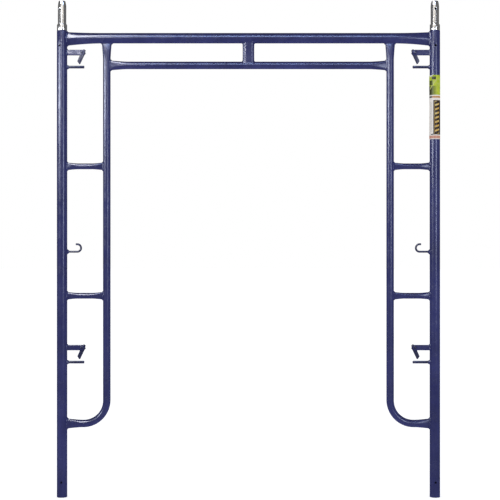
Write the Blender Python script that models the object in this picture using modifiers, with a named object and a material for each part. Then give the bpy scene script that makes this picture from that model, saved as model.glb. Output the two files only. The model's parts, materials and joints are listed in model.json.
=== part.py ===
"""Walk-through scaffold frame section: welded tube frame, brace locks and coupling pins.

Axes: X across the width, Y through the depth (front face at -Y), Z up, feet at Z = 0.
All lengths are in metres.
"""
import math

import bmesh
import bpy
from mathutils import Matrix, Vector

MM = 0.001
GAP = 0.3 * MM                      # clearance between touching pieces

# ---- overall frame -------------------------------------------------------------------
LEG_SPACING = 1524.0 * MM           # centre to centre, 60 in
LEG_LENGTH = 1905.0 * MM            # tube only, 75 in
LEG_RADIUS = 21.1 * MM
LEG_WALL = 2.6 * MM
LEG_X = LEG_SPACING / 2
POST_OFFSET = 183.0 * MM            # inner post axis from leg axis
POST_X = LEG_X - POST_OFFSET
LOCK_PIN_HOLE_RADIUS = 4.5 * MM     # cross holes for a pigtail pin
LOCK_PIN_HOLE_INSET = 62.0 * MM     # from a tube end to the hole axis

# ---- horizontal and vertical members --------------------------------------------------
HEADER_Z = 1874.8 * MM
HEADER_RADIUS = 21.1 * MM
HEADER_WALL = 2.4 * MM
HEADER_END_DROP = 3.0 * MM          # the crushed ends sag below the tube axis
LEDGER_Z = 1763.7 * MM
LEDGER_RADIUS = 15.3 * MM
POST_RADIUS = 15.3 * MM
POST_FOOT_Z = 299.6 * MM
POST_BEND_RADIUS = 95.0 * MM
RUNG_RADIUS = 11.9 * MM
RUNG_HEIGHTS = (("lower", 822.0 * MM), ("upper", 1351.0 * MM))
THIN_WALL = 2.0 * MM                # ledger, posts and rungs
SPACER_HALF_WIDTH = 24.0 * MM
SPACER_HALF_DEPTH = 13.6 * MM
SPACER_SQUARENESS = 3.0             # 2 is an ellipse, more is nearer a box

# Half height of each crushed tube end, and how far from the weld the tube is round again
HEADER_CRUSH = (28.0 * MM, 150.0 * MM, 1.9)
LEDGER_CRUSH = (20.0 * MM, 70.0 * MM, 1.5)
POST_TOP_CRUSH = (20.0 * MM, 68.0 * MM, 1.4)
POST_FOOT_CRUSH = (20.5 * MM, 58.0 * MM, 1.4)
RUNG_CRUSH = (15.6 * MM, 42.0 * MM, 1.4)
CRUSH_STEPS = (0.0, 0.12, 0.26, 0.42, 0.62, 1.0)    # where each crush is redrawn along its length
FLATTEST = 0.35                     # least half depth of a crushed tube, as a share of its radius

# ---- coupling pins --------------------------------------------------------------------
COLLAR_HEIGHT = 25.4 * MM
COLLAR_RADIUS = 20.5 * MM
COLLAR_EDGE = 1.0 * MM
PIN_RADIUS = 17.0 * MM
PIN_WALL = 3.0 * MM
PIN_ABOVE_COLLAR = 96.0 * MM
PIN_IN_LEG = 102.0 * MM
PIN_TAPER_LENGTH = 20.0 * MM
PIN_TAPER_INSET = 3.8 * MM
PIN_SHOULDER_INSET = 1.6 * MM       # the taper steepens here,
PIN_SHOULDER_DROP = 8.0 * MM        # this far from the pin's end

# ---- brace locks ----------------------------------------------------------------------
LOCK_HEIGHTS = (("lower", 610.1 * MM), ("upper", 1816.2 * MM))   # channel centre line
STUD_DROP = 59.4 * MM               # stud axis below the channel centre line
STUD_RADIUS = 5.6 * MM
STUD_TIP = 90.7 * MM                # from the leg axis
STUD_WELD_RADIUS = 10.0 * MM
STUD_WELD_LENGTH = 8.0 * MM
STUD_WELD_LAP = 2.0 * MM            # how far the cone runs on round the leg
STUD_EDGE = 0.8 * MM
PIVOT_REACH = 81.5 * MM             # lever pivot from the leg axis
CHANNEL_HALF_HEIGHT = 10.75 * MM
CHANNEL_PLATE = 3.0 * MM
LEVER_THICKNESS = 8.0 * MM
LEVER_SIDE_GAP = 0.4 * MM
WEB_END = 2.6 * MM                  # past the pivot: the lever head rests against it
RIVET_RADIUS = 3.5 * MM
RIVET_HEAD_RADIUS = 6.2 * MM
RIVET_HEAD_HEIGHT = 2.2 * MM
RIVET_CROWN = (3.1 * MM, 0.4 * MM)  # radius and drop of the flat crown's edge
RIVET_EDGE = 0.5 * MM
LEVER_BOSS_RADIUS = 7.1 * MM
# Lever outline from the pivot, x away from the leg and z up: head, outer edge, tip, inner edge
LEVER_OUTLINE = (
    (6.5, 13.7), (9.4, 13.0), (15.3, 9.0), (12.7, 1.9), (15.2, -4.2), (9.5, -10.7),
    (-6.6, -45.2), (-8.6, -47.3), (-11.2, -47.4), (-18.6, -36.2), (-18.3, -33.8), (-7.9, -10.5),
)
LEVER_STOP_FOOT = (2.95, 7.2)

# ---- hooks and label ------------------------------------------------------------------
HOOK_Z = 1002.0 * MM
HOOK_ROD_RADIUS = 4.0 * MM
HOOK_BEND_RADIUS = 15.3 * MM
HOOK_BEND_REACH = 62.4 * MM         # bend centre from the leg axis
HOOK_RETURN = 6.0 * MM
HOOK_WELD_GAP = 0.4 * MM            # the flat rod end stops this far from the leg
LABEL_TOP = 1722.0 * MM
LABEL_BOTTOM = 1461.0 * MM
LABEL_THICKNESS = 0.3 * MM
LABEL_HALF_WRAP = math.radians(98)

# ---- mesh fineness --------------------------------------------------------------------
LEG_SIDES = 32
POST_SIDES = 24
RUNG_SIDES = 20
ROD_SIDES = 16
BEND_PARTS = 8
NOSE_PARTS = 12
BOSS_PARTS = 5
HOOK_PARTS = 14
LABEL_PARTS = 24
SMOOTH_LIMIT = math.radians(38)

# ---- cutters: each only has to run clear of the piece it cuts --------------------------
RUN_ON = 100.0 * MM
SLOT_REACH = 30.0 * MM

BLUE = (0.045, 0.058, 0.185)
DARK_BLUE = (0.036, 0.042, 0.120)
ZINC = (0.62, 0.62, 0.60)
BLUE_PAINT = (BLUE, 0.35, 0.0)      # colour, roughness, metallic
DARK_PAINT = (DARK_BLUE, 0.42, 0.0)
BRIGHT_ZINC = (ZINC, 0.32, 0.9)
PRINTED_VINYL = ((0.78, 0.76, 0.72), 0.4, 0.0)
SIDES = (("left", -1), ("right", 1))


def clear_scene():
    for obj in list(bpy.data.objects):
        bpy.data.objects.remove(obj, do_unlink=True)


def new_collection(name):
    group = bpy.data.collections.new(name)
    bpy.context.scene.collection.children.link(group)
    return group


def make_material(name, colour, roughness, metallic):
    mat = bpy.data.materials.new(name)
    mat.use_nodes = True
    shader = mat.node_tree.nodes["Principled BSDF"]
    shader.inputs["Base Color"].default_value = (*colour, 1.0)
    shader.inputs["Roughness"].default_value = roughness
    shader.inputs["Metallic"].default_value = metallic
    return mat


clear_scene()
FRAME = new_collection("frame_scaffold_section")
CUTTERS = new_collection("cutters")


def add_object(name, mesh, location=(0, 0, 0), finish=BLUE_PAINT):
    obj = bpy.data.objects.new(name, mesh)
    obj.location = location
    FRAME.objects.link(obj)
    if finish:
        mesh.materials.append(make_material(name + "_finish", *finish))
    return obj


def smooth(mesh):
    mesh.shade_smooth()
    mesh.set_sharp_from_angle(angle=SMOOTH_LIMIT)


def mesh_from(bm, name):
    bmesh.ops.recalc_face_normals(bm, faces=bm.faces)
    mesh = bpy.data.meshes.new(name)
    bm.to_mesh(mesh)
    bm.free()
    return mesh


# ---- cutters --------------------------------------------------------------------------
def add_cutter(name, bm):
    obj = bpy.data.objects.new(name, mesh_from(bm, name))
    CUTTERS.objects.link(obj)
    obj.display_type = "WIRE"
    obj.hide_render = True
    return obj


def cylinder_cutter(name, radius, centre, axis, length, sides):
    bm = bmesh.new()
    turn = Vector((0, 0, 1)).rotation_difference(Vector(axis)).to_matrix().to_4x4()
    bmesh.ops.create_cone(bm, cap_ends=True, segments=sides, radius1=radius, radius2=radius,
                          depth=length, matrix=Matrix.Translation(centre) @ turn)
    return add_cutter(name, bm)


def box_cutter(name, low, high):
    bm = bmesh.new()
    low, high = Vector(low), Vector(high)
    size = high - low
    bmesh.ops.create_cube(bm, size=1.0, matrix=Matrix.Translation((low + high) / 2)
                          @ Matrix.Diagonal((*size, 1.0)))
    return add_cutter(name, bm)


def cut(obj, cutter):
    mod = obj.modifiers.new("cut_" + cutter.name, "BOOLEAN")
    mod.operation = "DIFFERENCE"
    mod.solver = "EXACT"
    mod.object = cutter


# ---- turned pieces --------------------------------------------------------------------
def turned(name, profile, sides, closed, **place):
    """Spin a profile of (radius, height) points, listed down its outer side, about Z."""
    mesh = bpy.data.meshes.new(name)
    count = len(profile)
    edges = [(i, i + 1) for i in range(count - 1)]
    if closed:
        edges.append((count - 1, 0))
    mesh.from_pydata([(r, 0, z) for r, z in profile], edges, [])
    obj = add_object(name, mesh, **place)
    spin = obj.modifiers.new("spin", "SCREW")
    spin.steps = spin.render_steps = sides
    spin.use_merge_vertices = True
    spin.merge_threshold = 1e-5
    spin.use_smooth_shade = True
    spin.use_normal_calculate = True
    return obj


def ring_profile(outer, inner, bottom, top):
    return [(outer, top), (outer, bottom), (inner, bottom), (inner, top)]


# ---- lofted tubes ---------------------------------------------------------------------
def crushed_pair(radius, half_height):
    """Half height and half depth of a round tube squeezed to an oval of the same girth."""
    half_depth = math.sqrt(max(2 * radius ** 2 - half_height ** 2, (FLATTEST * radius) ** 2))
    return half_height, half_depth


def crush_at(distance, radius, crush):
    """Half height at a distance from the weld: full crush there, round after its length."""
    end_half, length, power = crush
    left = max(0.0, 1.0 - max(distance, 0.0) / length)
    return radius + (end_half - radius) * left ** power


def oval_ring(centre, tall, deep, half_tall, half_deep, sides, squareness=2.0):
    ring = []
    for i in range(sides):
        angle = 2 * math.pi * (i + 0.5) / sides
        c, s = math.cos(angle), math.sin(angle)
        across = math.copysign(abs(c) ** (2 / squareness), c)
        along = math.copysign(abs(s) ** (2 / squareness), s)
        ring.append(centre + tall * half_tall * across + deep * half_deep * along)
    return ring


def lofted_tube(name, rings, wall, finish=BLUE_PAINT):
    bm = bmesh.new()
    loops = [[bm.verts.new(p) for p in ring] for ring in rings]
    for a, b in zip(loops, loops[1:]):
        for i in range(len(a)):
            j = (i + 1) % len(a)
            bm.faces.new((a[i], a[j], b[j], b[i]))
    bmesh.ops.recalc_face_normals(bm, faces=bm.faces)
    middle = sum((v.co for v in loops[0]), Vector()) / len(loops[0])
    probe = bm.faces[:][0]
    if probe.normal.dot(probe.calc_center_median() - middle) < 0:
        bmesh.ops.reverse_faces(bm, faces=bm.faces)
    mesh = bpy.data.meshes.new(name)
    bm.to_mesh(mesh)
    bm.free()
    smooth(mesh)
    obj = add_object(name, mesh, finish=finish)
    shell = obj.modifiers.new("wall", "SOLIDIFY")
    shell.thickness = wall
    shell.offset = -1.0
    shell.use_even_offset = True
    return obj


def end_stations(length, crush_length, first):
    """Distances from one weld at which the oval is redrawn, then the same at the other."""
    near = [-first] + [s * crush_length for s in CRUSH_STEPS]
    return near + [length - d for d in reversed(near)]


def straight_member(name, start, end, radius, crush, wall, sides, deep_in, drop=0.0):
    """Tube from weld to weld: start and end lie on the surfaces it is welded to.

    deep_in is how far each raw end runs on, to be trimmed by the saddle cut.
    """
    start, end = Vector(start), Vector(end)
    along = (end - start).normalized()
    length = (end - start).length
    tall = Vector((0, 0, 1))
    deep = along.cross(tall)
    rings = []
    for d in end_stations(length, crush[1], deep_in):
        nearest = min(d, length - d)
        half, depth = crushed_pair(radius, crush_at(nearest, radius, crush))
        sag = drop * (half - radius) / (crush[0] - radius)
        rings.append(oval_ring(start + along * d - tall * sag, tall, deep, half, depth, sides))
    return lofted_tube(name, rings, wall)


def inner_post(name, side):
    """Tube from the header down, bent outward at the foot and run into the leg."""
    x_post, x_leg = side * POST_X, side * LEG_X
    outward = Vector((side, 0, 0))
    up, deep = Vector((0, 0, 1)), Vector((0, 1, 0))
    top_weld = HEADER_Z - HEADER_RADIUS
    bend_start = POST_FOOT_Z + POST_BEND_RADIUS
    leg_weld = x_leg - side * LEG_RADIUS
    rings = []

    def add(point, tall, half):
        half, depth = crushed_pair(POST_RADIUS, half)
        rings.append(oval_ring(point, tall, deep, half, depth, POST_SIDES))

    for d in [-HEADER_RADIUS] + [s * POST_TOP_CRUSH[1] for s in CRUSH_STEPS]:
        add(Vector((x_post, 0, top_weld - d)), outward,
            crush_at(d, POST_RADIUS, POST_TOP_CRUSH))
    centre = Vector((x_post + side * POST_BEND_RADIUS, 0, bend_start))
    for i in range(BEND_PARTS + 1):
        angle = math.radians(90) * i / BEND_PARTS
        spoke = -outward * math.cos(angle) - up * math.sin(angle)
        add(centre + spoke * POST_BEND_RADIUS, -spoke, POST_RADIUS)
    for d in [s * POST_FOOT_CRUSH[1] for s in reversed(CRUSH_STEPS)] + [-LEG_RADIUS]:
        add(Vector((leg_weld - side * d, 0, POST_FOOT_Z)), up,
            crush_at(d, POST_RADIUS, POST_FOOT_CRUSH))
    return lofted_tube(name, rings, THIN_WALL)


# ---- flat pieces cut from an outline ---------------------------------------------------
def extruded(name, outline, half_thickness, location=(0, 0, 0), finish=BLUE_PAINT):
    """Solid of constant thickness along Y from an outline of (x, z) points."""
    bm = bmesh.new()
    front = [bm.verts.new((x, -half_thickness, z)) for x, z in outline]
    face = bm.faces.new(front)
    swept = bmesh.ops.extrude_face_region(bm, geom=[face])
    moved = [v for v in swept["geom"] if isinstance(v, bmesh.types.BMVert)]
    bmesh.ops.translate(bm, verts=moved, vec=(0, 2 * half_thickness, 0))
    mesh = mesh_from(bm, name)
    smooth(mesh)
    return add_object(name, mesh, location=location, finish=finish)


def arc_points(radius, start, stop, parts):
    return [(radius * math.cos(math.radians(start + (stop - start) * i / parts)),
             radius * math.sin(math.radians(start + (stop - start) * i / parts)))
            for i in range(parts + 1)]


# ---- saddle cutters shared by the members ----------------------------------------------
LEG_CUTTERS = {
    side: cylinder_cutter("cut_%s_leg" % word, LEG_RADIUS + GAP, (side * LEG_X, 0, LEG_LENGTH / 2),
                          (0, 0, 1), LEG_LENGTH + 2 * RUN_ON, LEG_SIDES)
    for word, side in SIDES}
POST_CUTTERS = {
    side: cylinder_cutter("cut_%s_post" % word, POST_RADIUS + GAP,
                          (side * POST_X, 0, (POST_FOOT_Z + HEADER_Z) / 2), (0, 0, 1),
                          HEADER_Z - POST_FOOT_Z, POST_SIDES)
    for word, side in SIDES}
HEADER_CUTTER = cylinder_cutter("cut_header", HEADER_RADIUS + GAP, (0, 0, HEADER_Z),
                                (1, 0, 0), LEG_SPACING, LEG_SIDES)
LEDGER_CUTTER = cylinder_cutter("cut_ledger", LEDGER_RADIUS + GAP, (0, 0, LEDGER_Z),
                                (1, 0, 0), 2 * RUN_ON, POST_SIDES)


# ---- legs, with the cross holes for lock pins ------------------------------------------
def make_leg(word, side):
    leg = turned(word + "_leg",
                 ring_profile(LEG_RADIUS, LEG_RADIUS - LEG_WALL, 0.0, LEG_LENGTH),
                 LEG_SIDES, True, location=(side * LEG_X, 0, 0))
    for end, height in (("foot", LOCK_PIN_HOLE_INSET), ("top", LEG_LENGTH - LOCK_PIN_HOLE_INSET)):
        cut(leg, cylinder_cutter("cut_%s_leg_%s_hole" % (word, end), LOCK_PIN_HOLE_RADIUS,
                                 (side * LEG_X, 0, height), (0, 1, 0), RUN_ON, ROD_SIDES))


# ---- coupling pins and their collars ----------------------------------------------------
def make_pin(word, side):
    top = COLLAR_HEIGHT + PIN_ABOVE_COLLAR
    bottom = -PIN_IN_LEG
    tip, shoulder = PIN_RADIUS - PIN_TAPER_INSET, PIN_RADIUS - PIN_SHOULDER_INSET
    outer = [(tip, top), (shoulder, top - PIN_SHOULDER_DROP),
             (PIN_RADIUS, top - PIN_TAPER_LENGTH), (PIN_RADIUS, bottom + PIN_TAPER_LENGTH),
             (shoulder, bottom + PIN_SHOULDER_DROP), (tip, bottom)]
    inner = [(r - PIN_WALL, z) for r, z in reversed(outer)]
    pin = turned(word + "_coupling_pin", outer + inner, POST_SIDES, True,
                 location=(side * LEG_X, 0, LEG_LENGTH), finish=BRIGHT_ZINC)
    holes = (("top", LEG_LENGTH + COLLAR_HEIGHT + LOCK_PIN_HOLE_INSET),
             ("low", LEG_LENGTH - LOCK_PIN_HOLE_INSET))
    for end, height in holes:
        cut(pin, cylinder_cutter("cut_%s_pin_%s_hole" % (word, end), LOCK_PIN_HOLE_RADIUS,
                                 (side * LEG_X, 0, height), (0, 1, 0), RUN_ON, ROD_SIDES))
    edge, bore = COLLAR_EDGE, PIN_RADIUS + GAP
    turned(word + "_pin_collar",
           [(COLLAR_RADIUS - edge, COLLAR_HEIGHT), (COLLAR_RADIUS, COLLAR_HEIGHT - edge),
            (COLLAR_RADIUS, edge), (COLLAR_RADIUS - edge, GAP), (bore, GAP),
            (bore, COLLAR_HEIGHT)],
           LEG_SIDES, True, location=(side * LEG_X, 0, LEG_LENGTH), finish=BRIGHT_ZINC)


# ---- brace locks ------------------------------------------------------------------------
def channel_outline(side):
    """Side view of the channel: straight from the leg, half round about the pivot."""
    nose = [(x + PIVOT_REACH, z) for x, z in arc_points(CHANNEL_HALF_HEIGHT, 90, -90, NOSE_PARTS)]
    root = LEG_RADIUS / 2
    points = [(root, CHANNEL_HALF_HEIGHT)] + nose + [(root, -CHANNEL_HALF_HEIGHT)]
    return [(-side * x, z) for x, z in points]


def make_lock(word, side, level, height):
    name = "%s_%s_" % (word, level)
    x_leg = side * LEG_X
    inward = -side                   # the locks face the middle of the frame
    x_pivot = x_leg + inward * PIVOT_REACH
    slot = LEVER_THICKNESS / 2 + LEVER_SIDE_GAP
    channel = extruded(name + "lock_channel", channel_outline(side), slot + CHANNEL_PLATE,
                       (x_leg, 0, height))
    far = x_pivot + inward * SLOT_REACH
    spans = (("slot", x_leg, far, -SLOT_REACH, CHANNEL_HALF_HEIGHT - CHANNEL_PLATE),
             ("web", x_pivot + inward * WEB_END, far, -SLOT_REACH, SLOT_REACH))
    for what, x_a, x_b, z_low, z_high in spans:
        cut(channel, box_cutter("cut_" + name + what, (min(x_a, x_b), -slot, height + z_low),
                                (max(x_a, x_b), slot, height + z_high)))
    cut(channel, LEG_CUTTERS[side])
    cut(channel, cylinder_cutter("cut_" + name + "rivet", RIVET_RADIUS + GAP,
                                 (x_pivot, 0, height), (0, 1, 0), RUN_ON, ROD_SIDES))

    outline = [(x * MM, z * MM) for x, z in LEVER_OUTLINE]
    outline += arc_points(LEVER_BOSS_RADIUS, 200, 100, BOSS_PARTS)
    outline.append((LEVER_STOP_FOOT[0] * MM, LEVER_STOP_FOOT[1] * MM))
    lever = extruded(name + "lock_lever", [(inward * x, z) for x, z in outline],
                     LEVER_THICKNESS / 2, (x_pivot, 0, height), DARK_PAINT)
    cut(lever, cylinder_cutter("cut_" + name + "lever_hole", RIVET_RADIUS + GAP,
                               (x_pivot, 0, height), (0, 1, 0), RUN_ON, ROD_SIDES))

    face = slot + CHANNEL_PLATE + GAP
    tip = face + RIVET_HEAD_HEIGHT
    crown, drop = RIVET_CROWN
    rivet = turned(name + "lever_rivet",
                   [(0, tip), (crown, tip - drop), (RIVET_HEAD_RADIUS, face + RIVET_EDGE),
                    (RIVET_HEAD_RADIUS, face), (RIVET_RADIUS, face), (RIVET_RADIUS, -face),
                    (RIVET_HEAD_RADIUS, -face), (RIVET_HEAD_RADIUS, -face - RIVET_EDGE),
                    (crown, drop - tip), (0, -tip)],
                   ROD_SIDES, False, location=(x_pivot, 0, height), finish=DARK_PAINT)
    rivet.rotation_euler = (math.radians(90), 0, 0)

    root = LEG_RADIUS / 2
    weld_end = LEG_RADIUS + STUD_WELD_LENGTH
    stud = turned(name + "brace_stud",
                  [(0, STUD_TIP), (STUD_RADIUS - STUD_EDGE, STUD_TIP),
                   (STUD_RADIUS, STUD_TIP - STUD_EDGE), (STUD_RADIUS, weld_end),
                   (STUD_WELD_RADIUS, LEG_RADIUS - STUD_WELD_LAP), (STUD_WELD_RADIUS, root),
                   (0, root)],
                  ROD_SIDES, False, location=(x_leg, 0, height - STUD_DROP), finish=DARK_PAINT)
    stud.rotation_euler = (0, inward * math.radians(90), 0)
    cut(stud, LEG_CUTTERS[side])


# ---- hooks ------------------------------------------------------------------------------
def make_hook(word, side):
    """Bent rod: straight out from the leg, up through a half circle and back toward it."""
    path = [(LEG_RADIUS + HOOK_WELD_GAP, 0.0)]
    path += [(HOOK_BEND_REACH + x, HOOK_BEND_RADIUS + z)
             for x, z in arc_points(HOOK_BEND_RADIUS, -90, 90, HOOK_PARTS)]
    path.append((HOOK_BEND_REACH - HOOK_RETURN, 2 * HOOK_BEND_RADIUS))
    curve = bpy.data.curves.new(word + "_hook", "CURVE")
    curve.dimensions = "3D"
    curve.bevel_depth = HOOK_ROD_RADIUS
    curve.bevel_resolution = 4
    curve.use_fill_caps = True
    line = curve.splines.new("POLY")
    line.points.add(len(path) - 1)
    for point, (reach, rise) in zip(line.points, path):
        point.co = (-side * reach, 0, rise, 1)
    line.use_smooth = True
    curve.materials.append(make_material(word + "_hook_finish", *DARK_PAINT))
    hook = bpy.data.objects.new(word + "_hook", curve)
    hook.location = (side * LEG_X, 0, HOOK_Z)
    FRAME.objects.link(hook)


# ---- label ------------------------------------------------------------------------------
def make_label():
    """Thin printed sheet wrapped round the front of the right leg."""
    inner = LEG_RADIUS + GAP
    bm = bmesh.new()
    columns = []
    for i in range(LABEL_PARTS + 1):
        angle = math.radians(-90) + LABEL_HALF_WRAP * (2 * i / LABEL_PARTS - 1)
        x, y = inner * math.cos(angle), inner * math.sin(angle)
        columns.append([bm.verts.new((x, y, z)) for z in (0.0, LABEL_TOP - LABEL_BOTTOM)])
    for a, b in zip(columns, columns[1:]):
        bm.faces.new((a[0], b[0], b[1], a[1]))
    mesh = bpy.data.meshes.new("label")
    bm.to_mesh(mesh)
    bm.free()
    smooth(mesh)
    label = add_object("label", mesh, (LEG_X, 0, LABEL_BOTTOM), PRINTED_VINYL)
    sheet = label.modifiers.new("sheet", "SOLIDIFY")
    sheet.thickness = LABEL_THICKNESS
    sheet.offset = 1.0
    sheet.use_even_offset = True


# ---- assembly ---------------------------------------------------------------------------
leg_face = LEG_X - LEG_RADIUS
post_face = POST_X + POST_RADIUS

header = straight_member("header", (-leg_face, 0, HEADER_Z), (leg_face, 0, HEADER_Z),
                         HEADER_RADIUS, HEADER_CRUSH, HEADER_WALL, LEG_SIDES, LEG_RADIUS,
                         HEADER_END_DROP)
ledger_face = POST_X - POST_RADIUS
ledger = straight_member("ledger", (-ledger_face, 0, LEDGER_Z), (ledger_face, 0, LEDGER_Z),
                         LEDGER_RADIUS, LEDGER_CRUSH, THIN_WALL, POST_SIDES, POST_RADIUS)
spacer = lofted_tube(
    "header_spacer",
    [oval_ring(Vector((0, 0, z)), Vector((1, 0, 0)), Vector((0, 1, 0)),
               SPACER_HALF_WIDTH, SPACER_HALF_DEPTH, LEG_SIDES, SPACER_SQUARENESS)
     for z in (LEDGER_Z, HEADER_Z)],
    THIN_WALL)
cut(spacer, HEADER_CUTTER)
cut(spacer, LEDGER_CUTTER)

for word, side in SIDES:
    cut(header, LEG_CUTTERS[side])
    cut(ledger, POST_CUTTERS[side])
    make_leg(word, side)
    make_pin(word, side)
    make_hook(word, side)
    post = inner_post(word + "_inner_post", side)
    cut(post, HEADER_CUTTER)
    cut(post, LEG_CUTTERS[side])
    for level, height in RUNG_HEIGHTS:
        rung = straight_member("%s_%s_rung" % (word, level),
                               (side * leg_face, 0, height), (side * post_face, 0, height),
                               RUNG_RADIUS, RUNG_CRUSH, THIN_WALL, RUNG_SIDES, POST_RADIUS)
        cut(rung, LEG_CUTTERS[side])
        cut(rung, POST_CUTTERS[side])
    for level, height in LOCK_HEIGHTS:
        make_lock(word, side, level, height)
make_label()
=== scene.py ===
"""Walk-through scaffold frame in blue enamel, seen straight on against a pale studio."""
import json
import math
import random

import bmesh
import bpy
import numpy as np
from mathutils import Matrix, Vector


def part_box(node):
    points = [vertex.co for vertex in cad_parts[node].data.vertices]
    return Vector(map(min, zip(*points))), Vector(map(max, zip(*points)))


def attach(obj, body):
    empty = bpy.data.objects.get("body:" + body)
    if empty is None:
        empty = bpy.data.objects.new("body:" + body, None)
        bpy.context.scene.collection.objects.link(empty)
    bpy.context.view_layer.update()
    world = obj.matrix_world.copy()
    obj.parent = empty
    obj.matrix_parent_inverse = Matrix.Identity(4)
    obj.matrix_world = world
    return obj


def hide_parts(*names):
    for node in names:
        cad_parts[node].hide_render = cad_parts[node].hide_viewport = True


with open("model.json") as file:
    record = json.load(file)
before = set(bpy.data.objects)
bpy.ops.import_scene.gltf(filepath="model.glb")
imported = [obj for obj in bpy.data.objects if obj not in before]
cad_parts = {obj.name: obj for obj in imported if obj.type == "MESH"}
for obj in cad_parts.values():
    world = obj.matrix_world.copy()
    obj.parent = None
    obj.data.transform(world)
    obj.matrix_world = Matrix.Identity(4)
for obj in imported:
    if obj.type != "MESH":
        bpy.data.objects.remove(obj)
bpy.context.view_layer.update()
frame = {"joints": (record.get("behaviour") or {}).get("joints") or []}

MM = 0.001
RNG = random.Random(41)
X, Y, Z = np.eye(3)
SIDES = (("left", -1), ("right", 1))
LEVELS = ("lower", "upper")


# ---- where things are, read from the CAD ------------------------------------------------
def low(node):
    return np.array(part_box(node)[0])


def high(node):
    return np.array(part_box(node)[1])


def middle(node):
    return (low(node) + high(node)) / 2


PIVOTS = {j["child"]: j["pos_m"] for j in frame["joints"] if j["type"] == "hinge"}
LEG_X = middle("right_leg")[0]
LEG_TOP = high("right_leg")[2]
LEG_R = (high("right_leg")[0] - low("right_leg")[0]) / 2
HEADER_END_HALF, HEADER_SAG = 28.0 * MM, 3.0 * MM
HEADER_Z = middle("header")[2] + HEADER_SAG
HEADER_R = 21.1 * MM
LEDGER_Z = middle("ledger")[2]
TUBE_R = 15.3 * MM                        # ledger and inner posts
POST_TOP_HALF, POST_FOOT_HALF = 20.0 * MM, 20.5 * MM
POST_X = low("right_inner_post")[0] + POST_TOP_HALF
POST_FOOT_Z = low("right_inner_post")[2] + POST_FOOT_HALF
BEND_R = 95.0 * MM
RUNG_R = 11.9 * MM
# half height at the weld, length of the crush, how it falls off, squareness at the weld
HEADER_CRUSH = (HEADER_END_HALF, 150.0 * MM, 1.9, 1.3)
LEDGER_CRUSH = (20.0 * MM, 70.0 * MM, 1.5, 3.2)
POST_TOP_CRUSH = (POST_TOP_HALF, 68.0 * MM, 1.4, 3.2)
POST_FOOT_CRUSH = (POST_FOOT_HALF, 58.0 * MM, 1.4, 3.2)
RUNG_CRUSH = (15.6 * MM, 42.0 * MM, 1.4, 3.0)
NO_CRUSH = (0.0, 1.0, 1.0, 2.0)
CRUSH_STEPS = np.linspace(0.02, 1, 16) ** 1.25   # rings along a crush, closest at the weld
SEAT = 0.8 * MM                           # how deep each tube end sits in the tube it meets
SPACER = (24.0 * MM, 13.6 * MM, 3.0)      # half width, half depth, squareness
HOLE_R = 4.5 * MM
HOLE_INSET = 62.0 * MM                    # from the end of a tube to the middle of its hole
TOP_TURN = {"left": math.radians(22), "right": 0.0}   # how far the top holes face outward


# ---- mesh helpers ------------------------------------------------------------------------
LOOKS = bpy.data.collections.new("looks")
bpy.context.scene.collection.children.link(LOOKS)


def soften(mesh, degrees=38):
    """Smooth shading, with a crease wherever the surface turns by more than the degrees."""
    mesh.shade_smooth()
    mesh.set_sharp_from_angle(angle=math.radians(degrees))


def mesh_object(name, verts, faces, degrees=38):
    mesh = bpy.data.meshes.new(name)
    mesh.from_pydata([tuple(map(float, v)) for v in verts], [], faces)
    bm = bmesh.new()
    bm.from_mesh(mesh)
    bmesh.ops.recalc_face_normals(bm, faces=bm.faces)
    bm.to_mesh(mesh)
    bm.free()
    soften(mesh, degrees)
    obj = bpy.data.objects.new(name, mesh)
    LOOKS.objects.link(obj)
    return obj


def skin(rings, loop=False, start=0):
    """Vertices and faces of a surface over rings of points, closed at both ends or in a loop."""
    rings = np.asarray(rings, float)
    count, sides, _ = rings.shape
    faces = []
    for i in range(count if loop else count - 1):
        a, b = start + i * sides, start + ((i + 1) % count) * sides
        for j in range(sides):
            k = (j + 1) % sides
            faces.append((a + j, a + k, b + k, b + j))
    if not loop:
        last = start + (count - 1) * sides
        faces.append(tuple(range(start + sides - 1, start - 1, -1)))
        faces.append(tuple(last + j for j in range(sides)))
    return rings.reshape(-1, 3), faces


def loft(name, rings, loop=False, degrees=38):
    return mesh_object(name, *skin(rings, loop), degrees)


def cut_away(obj, cutters):
    """Cuts the cutters out of obj for good, and removes them."""
    for cutter in cutters:
        mod = obj.modifiers.new("cut", "BOOLEAN")
        mod.operation, mod.solver, mod.object = "DIFFERENCE", "MANIFOLD", cutter
    settle(obj)
    for cutter in cutters:
        bpy.data.objects.remove(cutter, do_unlink=True)


def settle(obj):
    """Makes what the modifiers of obj show its own mesh."""
    graph = bpy.context.evaluated_depsgraph_get()
    mesh = bpy.data.meshes.new_from_object(obj.evaluated_get(graph))
    obj.modifiers.clear()
    obj.data = mesh
    soften(mesh)


def ease_edges(obj, width):
    """Rounds every edge of obj that turns by more than 50 degrees."""
    mod = obj.modifiers.new("edge", "BEVEL")
    mod.width, mod.segments = width, 2
    mod.limit_method, mod.angle_limit = "ANGLE", math.radians(50)
    settle(obj)


def turn_over(obj, x):
    """Swaps obj's left and right about a plane at x."""
    obj.data.transform(Matrix.Translation((2 * x, 0, 0)) @ Matrix.Diagonal((-1, 1, 1, 1)))
    obj.data.flip_normals()


def oval(centre, tall, deep, half_tall, half_deep, sides=72, square=2.0):
    """A ring of points: an ellipse when square is 2, nearer a box the higher square is."""
    turn = 2 * np.pi * (np.arange(sides) + 0.5) / sides
    c, s = np.cos(turn), np.sin(turn)
    a = np.sign(c) * np.abs(c) ** (2 / square) * half_tall
    b = np.sign(s) * np.abs(s) ** (2 / square) * half_deep
    return np.asarray(centre) + np.outer(a, tall) + np.outer(b, deep)


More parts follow.
